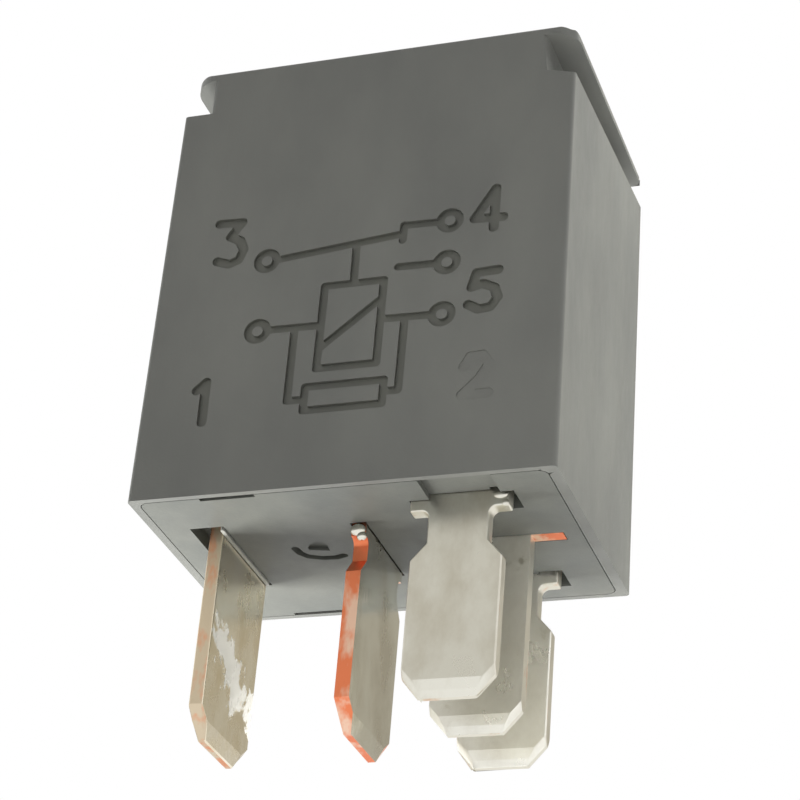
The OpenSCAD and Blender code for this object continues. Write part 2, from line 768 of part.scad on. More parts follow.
// End of the winding, drawn through the lower flange's slot to the post at the back
module coil_lead() {
    post_y = row_back_y - (sheet_t + lead_d) / 2 - fit;
    color("#b3602f") wire(
        [lead_x, leave_r * sin(lead_angle), winding_z + lead_over],
        [post_x, post_y, resistor_z - resistor_lead_d / 2 - post_over],
        lead_d
    );
}

module coil_lead_start() { mirror([0, 1, 0]) coil_lead(); }
module coil_lead_finish() { coil_lead(); }

// ---------------------------------------------------------------- resistor

// Resistor body: two end caps and a slimmer waist, turned about Y
module resistor_body() {
    half = resistor_l / 2;
    color("#6f8fa8") translate([post_x, 0, resistor_z]) rotate([90, 0, 0]) rotate_extrude() {
        translate([0, -half]) square([resistor_waist_d / 2, resistor_l]);
        for (end = [-1, 1])
            translate([0, end * (half - resistor_cap_l / 2)]) {
                translate([0, -resistor_cap_l / 2]) square([resistor_d / 2 - 0.3, resistor_cap_l]);
                translate([0, 0.3 - resistor_cap_l / 2]) square([resistor_d / 2, resistor_cap_l - 0.6]);
                for (z = [-1, 1])
                    translate([resistor_d / 2 - 0.3, z * (resistor_cap_l / 2 - 0.3)]) circle(0.3);
            }
    }
}

module resistor_lead(side) {
    reach = row_pitch + sheet_t / 2 + 0.35;
    start = resistor_l / 2 + fit;
    color("#c9c9c4") translate([post_x, 0, resistor_z])
        rod_y(resistor_lead_d, side > 0 ? start : -reach, side > 0 ? reach : -start);
}

module resistor_lead_front() { resistor_lead(-1); }
module resistor_lead_back() { resistor_lead(1); }

// ---------------------------------------------------------------- contacts

// Fixed contact rivet with its face at face_z; dir = 1 looks up, dir = -1 looks down
module fixed_contact(face_z, dir) {
    translate([contact_x, 0, face_z]) mirror([0, 0, dir > 0 ? 0 : 1]) {
        translate([0, 0, -fixed_h + fit]) cylinder(d = contact_d, h = fixed_h - fit);
        translate([0, 0, -fixed_h - sheet_t]) cylinder(d = contact_shank_d, h = sheet_t + fixed_h);
    }
}

module fixed_contact_no() { color("#d9d9d6") fixed_contact(no_face_z, 1); }
module fixed_contact_nc() { color("#d9d9d6") fixed_contact(nc_face_z, -1); }

// Half outline of a contact head with a crowned face, for a revolve; its back lies on z = 0
module crowned_head(h) {
    intersection() {
        square([contact_d / 2, h]);
        translate([0, h - crown_r]) circle(crown_r, $fn = 4 * $fn);
    }
}

// Double contact rivet in the spring's end
module moving_contact() {
    color("#d9d9d6") tipped() translate([contact_x, 0, pole_z]) rotate_extrude() {
        translate([0, spring_top_h + fit]) crowned_head(moving_above - fit);
        translate([0, spring_h - fit]) mirror([0, 1]) crowned_head(moving_below - fit);
        translate([0, spring_h - fit - join]) square([contact_shank_d / 2, spring_t + 2 * (fit + join)]);
    }
}

// ---------------------------------------------------------------- armature

module armature_rivet_places() {
    for (y = [-1, 1]) translate([armature_rivet_x, y * rivet_pitch / 2, pole_z]) children();
}

// Armature plate, tipped open, with two hinge ears that stand on the yoke's edge
module armature() {
    half = armature_w / 2;
    gap_w = spring_bend_w + 0.4;
    shoulder_x = nose_x - 1.8;
    color("#84878a") tipped() difference() {
        translate([0, 0, pole_z + armature_h]) linear_extrude(armature_t) difference() {
            polygon([
                [yoke_x, -half], [shoulder_x, -half], [nose_x, -nose_w / 2],
                [nose_x, nose_w / 2], [shoulder_x, half], [yoke_x, half]
            ]);
            translate([yoke_x - past, -gap_w / 2]) square([ear_l + past, gap_w]);
        }
        armature_rivet_places() cylinder(d = rivet_d + 2 * fit, h = armature_top_h + past);
    }
}

module armature_rivets() {
    color("#a8aaab") tipped() armature_rivet_places() {
        translate([0, 0, armature_h + 0.1]) cylinder(d = rivet_d, h = spring_top_h + fit - armature_h);
        translate([0, 0, spring_top_h + fit]) cylinder(d = rivet_head_d, h = rivet_head_h);
    }
}

// Rivets that hold the common terminal's tongue and the spring's leg against the yoke
module yoke_rivets() {
    left = common_x - sheet_t / 2 - fit;
    color("#a8aaab") for (y = [-1, 1])
        translate([0, y * rivet_pitch / 2, yoke_rivet_z]) {
            rod_x(rivet_d, left - join, yoke_x + yoke_t - fit);
            rod_x(rivet_head_d, left - rivet_head_h, left);
        }
}

// Contact spring: a leg on the yoke's back, a windowed bend round the hinge, and the blade on
// the armature that carries the moving contact
module contact_spring() {
    leg_half = spring_bend_w / 2;
    half = spring_w / 2;
    color("#c9a45c") difference() {
        union() {
            along_y(-leg_half, leg_half) {
                translate([spring_back_x - spring_t / 2, spring_foot_z])
                    square([spring_t, bend_z + join - spring_foot_z]);
                spring_bend_outline();
            }
            tipped() translate([0, 0, pole_z + spring_h]) linear_extrude(spring_t) {
                polygon([
                    [spring_blade_x - join, -leg_half], [spring_blade_x + 0.8, -leg_half],
                    [spring_blade_x + 0.8 + half - leg_half, -half], [spring_slope_x, -half],
                    [contact_x - 2.4, -spring_tip_r], [contact_x, -spring_tip_r],
                    [contact_x, spring_tip_r], [contact_x - 2.4, spring_tip_r],
                    [spring_slope_x, half], [spring_blade_x + 0.8 + half - leg_half, half],
                    [spring_blade_x + 0.8, leg_half], [spring_blade_x - join, leg_half]
                ]);
                translate([contact_x, 0]) circle(spring_tip_r);
            }
        }
        // window across the bend
        translate([spring_back_x - past, -spring_window_w / 2, window_foot_z])
            cube([window_end_x - spring_back_x + past, spring_window_w, pole_z]);
        yoke_rivet_holes();
        tipped() {
            armature_rivet_places() cylinder(d = rivet_d + 2 * fit, h = armature_top_h + past);
            translate([contact_x, 0, pole_z])
                cylinder(d = contact_shank_d + 2 * fit, h = 2 * armature_top_h);
        }
    }
}

// Bend of the spring at rest, from the upright leg to the tipped blade
module spring_bend_outline() {
    reach = 3 * spring_bend_r;
    far = 90 + open_angle;
    translate([bend_x, bend_z]) intersection() {
        difference() {
            circle(spring_bend_r + spring_t / 2);
            circle(spring_bend_r - spring_t / 2);
        }
        polygon([[0, 0], [-reach, 0], [-reach, reach], reach * [cos(far), sin(far)]]);
    }
}

// ---------------------------------------------------------------- drawing

cover();
base();
terminal_common();
terminal_no();
terminal_nc();
terminal_coil_front();
terminal_coil_back();
yoke();
core();
bobbin();
winding();
coil_lead_start();
coil_lead_finish();
resistor_body();
resistor_lead_front();
resistor_lead_back();
fixed_contact_no();
fixed_contact_nc();
yoke_rivets();
armature();
armature_rivets();
contact_spring();
moving_contact();
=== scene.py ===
"""Visual model of a plug-in vehicle micro relay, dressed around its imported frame.

Each sub-assembly is a class that builds its own pieces and gives them their finishes. Lengths
are written in millimetres and turned to metres by mm().
"""

import itertools
import logging
import math
from dataclasses import dataclass, field
from enum import Enum
from typing import Callable, Optional

import bpy
from mathutils import Matrix, Vector
from mathutils.geometry import delaunay_2d_cdt


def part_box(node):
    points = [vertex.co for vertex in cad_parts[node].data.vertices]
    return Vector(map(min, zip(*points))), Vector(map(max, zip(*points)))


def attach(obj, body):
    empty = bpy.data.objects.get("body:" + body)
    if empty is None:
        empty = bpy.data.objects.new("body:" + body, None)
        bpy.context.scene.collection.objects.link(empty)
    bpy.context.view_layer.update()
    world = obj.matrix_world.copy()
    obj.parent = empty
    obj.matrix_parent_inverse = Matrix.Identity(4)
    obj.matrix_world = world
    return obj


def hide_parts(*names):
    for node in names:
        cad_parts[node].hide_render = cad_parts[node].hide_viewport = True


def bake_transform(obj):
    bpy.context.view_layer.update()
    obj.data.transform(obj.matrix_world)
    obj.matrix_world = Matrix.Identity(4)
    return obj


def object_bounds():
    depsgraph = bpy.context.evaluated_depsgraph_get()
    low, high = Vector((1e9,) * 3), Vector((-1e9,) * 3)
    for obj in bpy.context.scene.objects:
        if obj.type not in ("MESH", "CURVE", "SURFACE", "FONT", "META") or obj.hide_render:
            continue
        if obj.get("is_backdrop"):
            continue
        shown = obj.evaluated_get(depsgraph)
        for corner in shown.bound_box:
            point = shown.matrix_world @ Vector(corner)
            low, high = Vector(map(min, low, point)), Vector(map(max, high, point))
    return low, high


LOG = logging.getLogger("relay")
HOUSING = "housing"
SHARP_DEG = 28.0
SMOOTH_DEG = 40.0
FLAT_DEG = 0.6
GROOVE_FLAT_DEG = 1.0
NEAR_MM = 0.01
SAME_MM = 0.0005
GROOVE_SAME_MM = 0.02
ABOVE_MM = 0.3

Point = tuple[float, float]
Triple = tuple[float, float, float]
Bead = tuple[Triple, Triple]
Outline = list[Vector]
Colour = tuple[float, float, float, float]
FaceTest = Callable[[bpy.types.MeshPolygon], bool]
PlaceTest = Callable[[Vector], bool]


def mm(value: float) -> float:
    """Turns millimetres to metres."""
    return value / 1000


def hex_linear(code: str) -> Colour:
    """Turns an sRGB hex colour to the linear colour that a shader socket takes.

    Args:
        code: six hex digits after a hash sign.

    Returns:
        Linear red, green, blue and an alpha of 1.
    """
    parts = (int(code[i:i + 2], 16) / 255 for i in (1, 3, 5))
    linear = [c / 12.92 if c <= 0.04045 else ((c + 0.055) / 1.055) ** 2.4 for c in parts]
    return (linear[0], linear[1], linear[2], 1.0)


# ------------------------------------------------------------------ mesh tools


def only(piece: bpy.types.Object) -> None:
    """Makes a piece the only selected object and the active one."""
    bpy.ops.object.select_all(action="DESELECT")
    piece.select_set(True)
    bpy.context.view_layer.objects.active = piece


def settle(piece: bpy.types.Object) -> bpy.types.Object:
    """Puts the piece's place into its mesh, so that its object sits at the origin, unturned."""
    only(piece)
    bpy.ops.object.transform_apply(location=True, rotation=True, scale=True)
    return piece


def named(name: str) -> bpy.types.Object:
    """Gives the new active object a name and settles it."""
    piece = bpy.context.view_layer.objects.active
    piece.name = name
    piece.data.name = name
    return settle(piece)


def modify(piece: bpy.types.Object, kind: str, **settings: object) -> None:
    """Adds a modifier with its settings and applies it.

    Args:
        piece: the object to change.
        kind: the modifier's type.
        **settings: the modifier's properties and their values.
    """
    only(piece)
    modifier = piece.modifiers.new(kind.lower(), kind)
    for key, value in settings.items():
        setattr(modifier, key, value)
    bpy.ops.object.modifier_apply(modifier=modifier.name)


def leave() -> None:
    """Leaves edit mode."""
    bpy.ops.object.mode_set(mode="OBJECT")


def unpick(piece: bpy.types.Object, kind: str) -> None:
    """Clears a piece's selection and gets its faces, edges or points ready to be picked."""
    only(piece)
    bpy.ops.object.mode_set(mode="EDIT")
    bpy.ops.mesh.select_mode(type=kind)
    bpy.ops.mesh.select_all(action="DESELECT")
    leave()


def pick(piece: bpy.types.Object, test: FaceTest) -> None:
    """Enters edit mode with only the faces selected that pass a test.

    Args:
        piece: the object whose faces are picked.
        test: says of a face whether it is picked.
    """
    unpick(piece, "FACE")
    for face in piece.data.polygons:
        face.select = test(face)
    bpy.ops.object.mode_set(mode="EDIT")


def pick_points(piece: bpy.types.Object, test: PlaceTest) -> None:
    """Enters edit mode with only the points selected whose place passes a test."""
    unpick(piece, "VERT")
    for point in piece.data.vertices:
        point.select = test(point.co)
    bpy.ops.object.mode_set(mode="EDIT")


def soften(piece: bpy.types.Object, width: float, test: PlaceTest, rounds: int) -> None:
    """Rounds the sharp edges whose middle passes a test.

    Args:
        piece: the object to change.
        width: how far the rounding reaches from the edge, in metres.
        test: says of an edge's middle whether the edge is rounded.
        rounds: how many strips a rounding has.
    """
    unpick(piece, "EDGE")
    bpy.ops.object.mode_set(mode="EDIT")
    bpy.ops.mesh.edges_select_sharp(sharpness=math.radians(SHARP_DEG))
    leave()
    mesh = piece.data
    for edge in mesh.edges:
        if edge.select:
            ends = [mesh.vertices[i].co for i in edge.vertices]
            edge.select = test((ends[0] + ends[1]) / 2)
    bpy.ops.object.mode_set(mode="EDIT")
    bpy.ops.mesh.bevel(offset=width, segments=rounds, profile=0.5, clamp_overlap=True)
    leave()


def smooth(piece: bpy.types.Object, degrees: float = SMOOTH_DEG,
           flat: Optional[FaceTest] = None) -> None:
    """Shades a piece smooth where its faces meet at less than an angle.

    Args:
        piece: the object to shade.
        degrees: the largest angle that is smoothed.
        flat: says of a face whether it stays flat.
    """
    only(piece)
    bpy.ops.object.shade_smooth_by_angle(angle=math.radians(degrees))
    if flat:
        pick(piece, flat)
        bpy.ops.mesh.faces_shade_flat()
        leave()
    modify(piece, "WEIGHTED_NORMAL", keep_sharp=True, weight=60)


def tighten(piece: bpy.types.Object, centre: Point, radius: float, tighter: float) -> None:
    """Gives an upright rounded corner a smaller radius, with its two faces kept in place.

    Args:
        piece: the object to change.
        centre: the corner's centre as X and Y in millimetres, which also says which corner it is.
        radius: the corner's radius.
        tighter: its new radius.
    """
    side = Vector((math.copysign(1, centre[0]), math.copysign(1, centre[1])))
    shift = mm(radius - tighter)
    for point in piece.data.vertices:
        aside = Vector((point.co.x - mm(centre[0]), point.co.y - mm(centre[1])))
        if min(aside * side) > -mm(NEAR_MM) / 2 and abs(aside.length - mm(radius)) < mm(NEAR_MM):
            point.co.x += aside.x * (tighter / radius - 1) + side.x * shift
            point.co.y += aside.y * (tighter / radius - 1) + side.y * shift


def frame_copy(node: str, name: str) -> bpy.types.Object:
    """Copies a CAD node into a new piece with merged points and clean flat faces.

    Args:
        node: the CAD node's name.
        name: the new piece's name.

    Returns:
        The new piece, at the CAD node's place.
    """
    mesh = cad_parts[node].data.copy()
    piece = bpy.data.objects.new(name, mesh)
    mesh.name = name
    mesh.materials.clear()
    bpy.context.scene.collection.objects.link(piece)
    only(piece)
    bpy.ops.mesh.customdata_custom_splitnormals_clear()
    bpy.ops.object.mode_set(mode="EDIT")
    bpy.ops.mesh.select_all(action="SELECT")
    bpy.ops.mesh.remove_doubles(threshold=mm(SAME_MM))
    bpy.ops.mesh.dissolve_limited(angle_limit=math.radians(FLAT_DEG))
    leave()
    return piece


def cut(piece: bpy.types.Object, cutter: bpy.types.Object) -> None:
    """Takes the cutter's space out of a piece and removes the cutter."""
    modify(piece, "BOOLEAN", operation="DIFFERENCE", object=cutter, solver="EXACT",
           use_self=True)
    bpy.data.objects.remove(cutter)


# ------------------------------------------------------------------ engraving


@dataclass(frozen=True)
class Ground:
    """A flat face that is engraved, with the two directions that outlines on it are given in."""

    origin: Vector
    across: Vector
    along: Vector
    inward: Vector

    def at(self, place: Vector, out_mm: float) -> Vector:
        """The point over a place on the face, in metres.

        Args:
            place: the place on the face, in millimetres.
            out_mm: how far the point stands out from the face.
        """
        return (self.origin + self.across * mm(place.x) + self.along * mm(place.y)
                - self.inward * mm(out_mm))


def stroke(start: Point, end: Point, width: float) -> Outline:
    """Outline of a straight groove with round ends.

    Args:
        start: where the groove starts, in millimetres.
        end: where it ends.
        width: its width.

    Returns:
        The outline's points in turn.
    """
    ends = Vector(start), Vector(end)
    heading = math.atan2(ends[1].y - ends[0].y, ends[1].x - ends[0].x)
    steps = 8
    return [place + width / 2 * Vector((math.cos(turn), math.sin(turn)))
            for place, first in zip(ends, (heading + math.pi / 2, heading - math.pi / 2))
            for turn in (first + math.pi * i / steps for i in range(steps + 1))]


def strokes(points: list[Point], width: float) -> list[Outline]:
    """Outlines of the grooves along a list of points."""
    return [stroke(start, end, width) for start, end in zip(points, points[1:])]


def engrave(piece: bpy.types.Object, ground: Ground, outlines: list[Outline],
            depth: float) -> None:
    """Sinks the union of some outlines into a flat face of a piece.

    Args:
        piece: the object to change.
        ground: the face and its directions.
        outlines: outlines on the face in millimetres, which may overlap.
        depth: how deep their space is, in millimetres.
    """
    points = [point for outline in outlines for point in outline]
    starts = itertools.accumulate([0] + [len(outline) for outline in outlines])
    faces = [list(range(start, start + len(outline)))
             for start, outline in zip(starts, outlines)]
    places, _, parts, _, _, sources = delaunay_2d_cdt(points, [], faces, 1, 1e-4)
    mesh = bpy.data.meshes.new("engraving")
    mesh.from_pydata([ground.at(place, ABOVE_MM) for place in places], [],
                     [part for part, source in zip(parts, sources) if source])
    cutter = bpy.data.objects.new("engraving", mesh)
    bpy.context.scene.collection.objects.link(cutter)
    only(cutter)
    bpy.ops.object.mode_set(mode="EDIT")
    bpy.ops.mesh.select_all(action="SELECT")
    bpy.ops.mesh.remove_doubles(threshold=mm(GROOVE_SAME_MM))
    bpy.ops.mesh.dissolve_limited(angle_limit=math.radians(GROOVE_FLAT_DEG))
    bpy.ops.mesh.extrude_region_move(
        TRANSFORM_OT_translate={"value": ground.inward * mm(ABOVE_MM + depth)})
    bpy.ops.mesh.select_all(action="SELECT")
    bpy.ops.mesh.normals_make_consistent(inside=False)
    leave()
    cut(piece, cutter)


# ------------------------------------------------------------------ finishes


def add_node(tree: bpy.types.NodeTree, kind: str, sockets: Optional[dict] = None,
             **settings: object) -> bpy.types.Node:
    """Adds a shader node with its settings, values and links.

    Args:
        tree: the material's or world's node tree.
        kind: the node's type.
        sockets: input name or index to a value, or to the output socket that feeds it.
        **settings: the node's own properties.

    Returns:
        The new node.
    """
    node = tree.nodes.new(kind)
    for key, value in settings.items():
        setattr(node, key, value)
    for key, value in (sockets or {}).items():
        if isinstance(value, bpy.types.NodeSocket):
            tree.links.new(value, node.inputs[key])
        else:
            node.inputs[key].default_value = value
    return node


def blank(name: str) -> tuple[bpy.types.Material, bpy.types.NodeTree]:
    """Makes a material with an empty node tree."""
    material = bpy.data.materials.new(name)
    material.use_nodes = True
    material.node_tree.nodes.clear()
    return material, material.node_tree


def noise(tree: bpy.types.NodeTree, period_mm: float, detail: float = 2.0,
          stretch: Point = (1.0, 1.0), roughness: float = 0.5) -> bpy.types.NodeSocket:
    """Noise on the piece's own coordinates.

    Args:
        tree: the material's node tree.
        period_mm: the size of the pattern's spots.
        detail: how many finer layers lie over the first.
        stretch: how much finer the pattern is along Y and Z than along X.
        roughness: how strong the finer layers are.

    Returns:
        The noise's value socket.
    """
    place = add_node(tree, "ShaderNodeTexCoord")
    turned = add_node(tree, "ShaderNodeMapping", {
        "Vector": place.outputs["Object"], "Scale": (1.0, stretch[0], stretch[1])})
    return add_node(tree, "ShaderNodeTexNoise", {
        "Vector": turned.outputs["Vector"], "Scale": 1000 / period_mm, "Detail": detail,
        "Roughness": roughness}).outputs["Fac"]


def ramp(tree: bpy.types.NodeTree, value: bpy.types.NodeSocket, low: float, high: float,
         to: Point = (0.0, 1.0)) -> bpy.types.NodeSocket:
    """Spreads a range of a value over another range, clamped.

    Args:
        tree: the material's node tree.
        value: the socket to spread.
        low: the value that gives the new range's first end.
        high: the value that gives its last end.
        to: the new range.

    Returns:
        The spread value's socket.
    """
    return add_node(tree, "ShaderNodeMapRange", {
        "Value": value, "From Min": low, "From Max": high, "To Min": to[0], "To Max": to[1],
    }, clamp=True).outputs["Result"]


def largest(tree: bpy.types.NodeTree,
            *values: bpy.types.NodeSocket) -> bpy.types.NodeSocket:
    """The socket of the largest of some values."""
    top = values[0]
    for value in values[1:]:
        top = add_node(tree, "ShaderNodeMath", {0: top, 1: value}, operation="MAXIMUM").outputs[0]
    return top


def mixed(tree: bpy.types.NodeTree, factor: bpy.types.NodeSocket, first: object,
          second: object) -> bpy.types.NodeSocket:
    """Mixes two colours, each a hex code or a socket.

    Args:
        tree: the material's node tree.
        factor: 0 for the first colour and 1 for the second.
        first: a hex code or a colour socket.
        second: a hex code or a colour socket.

    Returns:
        The mixed colour's socket.
    """
    node = add_node(tree, "ShaderNodeMix", {"Factor": factor}, data_type="RGBA")
    for socket, colour in ((node.inputs[6], first), (node.inputs[7], second)):
        if isinstance(colour, str):
            socket.default_value = hex_linear(colour)
        else:
            tree.links.new(colour, socket)
    return node.outputs[2]


def bumps(tree: bpy.types.NodeTree,
          layers: list[tuple[bpy.types.NodeSocket, float]]) -> bpy.types.NodeSocket:
    """Stacks height patterns into one normal.

    Args:
        tree: the material's node tree.
        layers: each pattern's socket and its height in millimetres.

    Returns:
        The normal's socket.
    """
    normal: Optional[bpy.types.NodeSocket] = None
    for height, size_mm in layers:
        sockets = {"Height": height, "Strength": 1.0, "Distance": mm(size_mm)}
        if normal is not None:
            sockets["Normal"] = normal
        normal = add_node(tree, "ShaderNodeBump", sockets).outputs["Normal"]
    return normal


def surface(tree: bpy.types.NodeTree, sockets: dict) -> None:
    """Ends a material's tree in one principled shader with these sockets."""
    shader = add_node(tree, "ShaderNodeBsdfPrincipled", sockets)
    add_node(tree, "ShaderNodeOutputMaterial", {"Surface": shader.outputs["BSDF"]})


@dataclass(frozen=True)
class MouldedPlastic:
    """Injection-moulded polyester (PBT): a dull, slightly uneven surface with a fine spark grain.

    The eye gets a soft sheen that breaks up over the grain, and faint clouds where the filled
    melt flowed.
    """

    name: str
    colour: str
    cloud: str
    roughness: float = 0.5
    specular: float = 0.5
    grain_mm: float = 0.16
    grain_height_mm: float = 0.006

    def material(self) -> bpy.types.Material:
        """Builds the material."""
        material, tree = blank(self.name)
        clouds = noise(tree, 5.0, 3.0, (1.0, 0.5))
        specks = noise(tree, self.grain_mm, 2.0)
        scuffs = noise(tree, 1.6, 4.0, (1.0, 0.35), 0.65)
        colour = mixed(tree, ramp(tree, clouds, 0.35, 0.7), self.colour, self.cloud)
        surface(tree, {
            "Base Color": mixed(tree, ramp(tree, specks, 0.62, 0.8, (0.0, 0.25)), colour,
                                self.cloud),
            "Roughness": ramp(tree, scuffs, 0.3, 0.75, (self.roughness - 0.07,
                                                        self.roughness + 0.09)),
            "IOR": 1.53,
            "Specular IOR Level": self.specular,
            "Normal": bumps(tree, [(specks, self.grain_height_mm), (clouds, 0.02)]),
        })
        return material


@dataclass(frozen=True)
class Patch:
    """A ragged egg-shaped place, given by its middle, its half sizes, its turn and its strength."""

    middle_mm: Triple
    half_mm: Triple
    turn_deg: float = 0.0
    strength: float = 1.0

    def share(self, tree: bpy.types.NodeTree) -> bpy.types.NodeSocket:
        """The socket that is the patch's strength inside it and 0 outside it.

        Args:
            tree: the material's node tree.
        """
        place = add_node(tree, "ShaderNodeTexCoord")
        local = add_node(tree, "ShaderNodeMapping", {
            "Vector": place.outputs["Object"], "Location": Vector(self.middle_mm) / 1000,
            "Rotation": (math.radians(self.turn_deg), 0, 0),
            "Scale": Vector(self.half_mm) / 1000}, vector_type="TEXTURE")
        away = add_node(tree, "ShaderNodeVectorMath", {0: local.outputs["Vector"]},
                        operation="LENGTH").outputs["Value"]
        level = add_node(tree, "ShaderNodeMath", {
            0: away, 1: -0.22, 2: noise(tree, 1.9, 6.0, (1.0, 0.8), 0.66)},
            operation="MULTIPLY_ADD").outputs[0]
        return ramp(tree, level, 0.27, 0.31, (0.0, self.strength))


@dataclass(frozen=True)
class TinnedSheet:
    """Hot-tinned copper alloy strip: bright but soft, with rolling lines and handling stains.

    A white patch can lie on the face: dried flux where it spreads over the whole face, a painted
    reflection where it is the small spot on the common blade.
    """

    name: str
    colour: str = "#e6e4d9"
    stain: str = "#cfcabb"
    roughness: float = 0.16
    white_patch: Optional[Patch] = None
    line_mm: float = 0.12

    def material(self) -> bpy.types.Material:
        """Builds the material."""
        material, tree = blank(self.name)
        stains = noise(tree, 2.6, 5.0, (1.0, 0.6), 0.6)
        lines = noise(tree, self.line_mm, 2.0, (1.0, 0.06))
        pits = noise(tree, 0.22, 3.0)
        dull = ramp(tree, stains, 0.42, 0.66)
        colour = mixed(tree, dull, self.colour, self.stain)
        metallic: object = 1.0
        # White patch: flux where it covers the face, a painted reflection where it is the small
        # spot on the common blade.
        if self.white_patch:
            white = self.white_patch.share(tree)
            colour = mixed(tree, white, colour, "#fbfaf4")
            metallic = ramp(tree, white, 0.0, 1.0, (1.0, 0.15))
        surface(tree, {
            "Base Color": colour,
            "Metallic": metallic,
            "Roughness": ramp(tree, stains, 0.35, 0.7, (self.roughness, self.roughness + 0.14)),
            "Normal": bumps(tree, [(lines, 0.0015), (pits, 0.0025), (stains, 0.02)]),
        })
        return material


@dataclass(frozen=True)
class ShearedCopper:
    """Bare cut edge of tinned copper: red metal with smears of tin drawn over it by the punch."""

    name: str
    copper: str
    tin: str
    tin_share: float
    roughness: float = 0.42

    def material(self) -> bpy.types.Material:
        """Builds the material."""
        material, tree = blank(self.name)
        smears = noise(tree, 1.5, 4.0, (1.0, 0.45), 0.62)
        tears = noise(tree, 0.14, 3.0, (1.0, 0.3))
        edge = 0.5 + 0.22 * (1 - 2 * self.tin_share)
        surface(tree, {
            "Base Color": mixed(tree, ramp(tree, smears, edge - 0.07, edge + 0.07),
                                self.copper, self.tin),
            "Metallic": 1.0,
            "Roughness": ramp(tree, smears, 0.3, 0.7, (self.roughness + 0.08,
                                                       self.roughness - 0.08)),
            "Normal": bumps(tree, [(tears, 0.012), (smears, 0.03)]),
        })
        return material


@dataclass(frozen=True)
class PlainMetal:
    """Metal with its own colour, cloudiness and grain, for the pieces inside the cover."""

    name: str
    colour: str
    cloud: str
    roughness: float
    grain_mm: float = 0.3
    grain_height_mm: float = 0.004
    stretch: Point = (1.0, 1.0)

    def material(self) -> bpy.types.Material:
        """Builds the material."""
        material, tree = blank(self.name)
        clouds = noise(tree, 3.0, 3.0)
        grain = noise(tree, self.grain_mm, 2.0, self.stretch)
        surface(tree, {
            "Base Color": mixed(tree, ramp(tree, clouds, 0.35, 0.7), self.colour, self.cloud),
            "Metallic": 1.0,
            "Roughness": ramp(tree, grain, 0.3, 0.7, (self.roughness, self.roughness + 0.12)),
            "Normal": bumps(tree, [(grain, self.grain_height_mm)]),
        })
        return material


@dataclass(frozen=True)
class Coating:
    """Glossy layer over a body, such as lacquer on a resistor or enamel on copper wire."""

    name: str
    colour: str
    cloud: str
    roughness: float = 0.3
    metallic: float = 0.0
    coat: float = 0.6
    bands: tuple[tuple[float, str], ...] = ()
    band_mm: float = 0.34

    def material(self) -> bpy.types.Material:
        """Builds the material, with its coloured bands across Y."""
        material, tree = blank(self.name)
        clouds = noise(tree, 1.2, 3.0)
        colour = mixed(tree, ramp(tree, clouds, 0.35, 0.7), self.colour, self.cloud)
        place = add_node(tree, "ShaderNodeTexCoord").outputs["Object"]
        along = add_node(tree, "ShaderNodeSeparateXYZ", {0: place}).outputs["Y"]
        for middle, band in self.bands:
            inside = add_node(tree, "ShaderNodeMath", {
                0: along, 1: mm(middle), 2: mm(self.band_mm / 2)}, operation="COMPARE")
            colour = mixed(tree, inside.outputs[0], colour, band)
        surface(tree, {
            "Base Color": colour,
            "Metallic": self.metallic,
            "Roughness": ramp(tree, clouds, 0.3, 0.7, (self.roughness, self.roughness + 0.1)),
            "Coat Weight": self.coat,
            "Coat Roughness": 0.12,
            "Normal": bumps(tree, [(clouds, 0.01)]),
        })
        return material


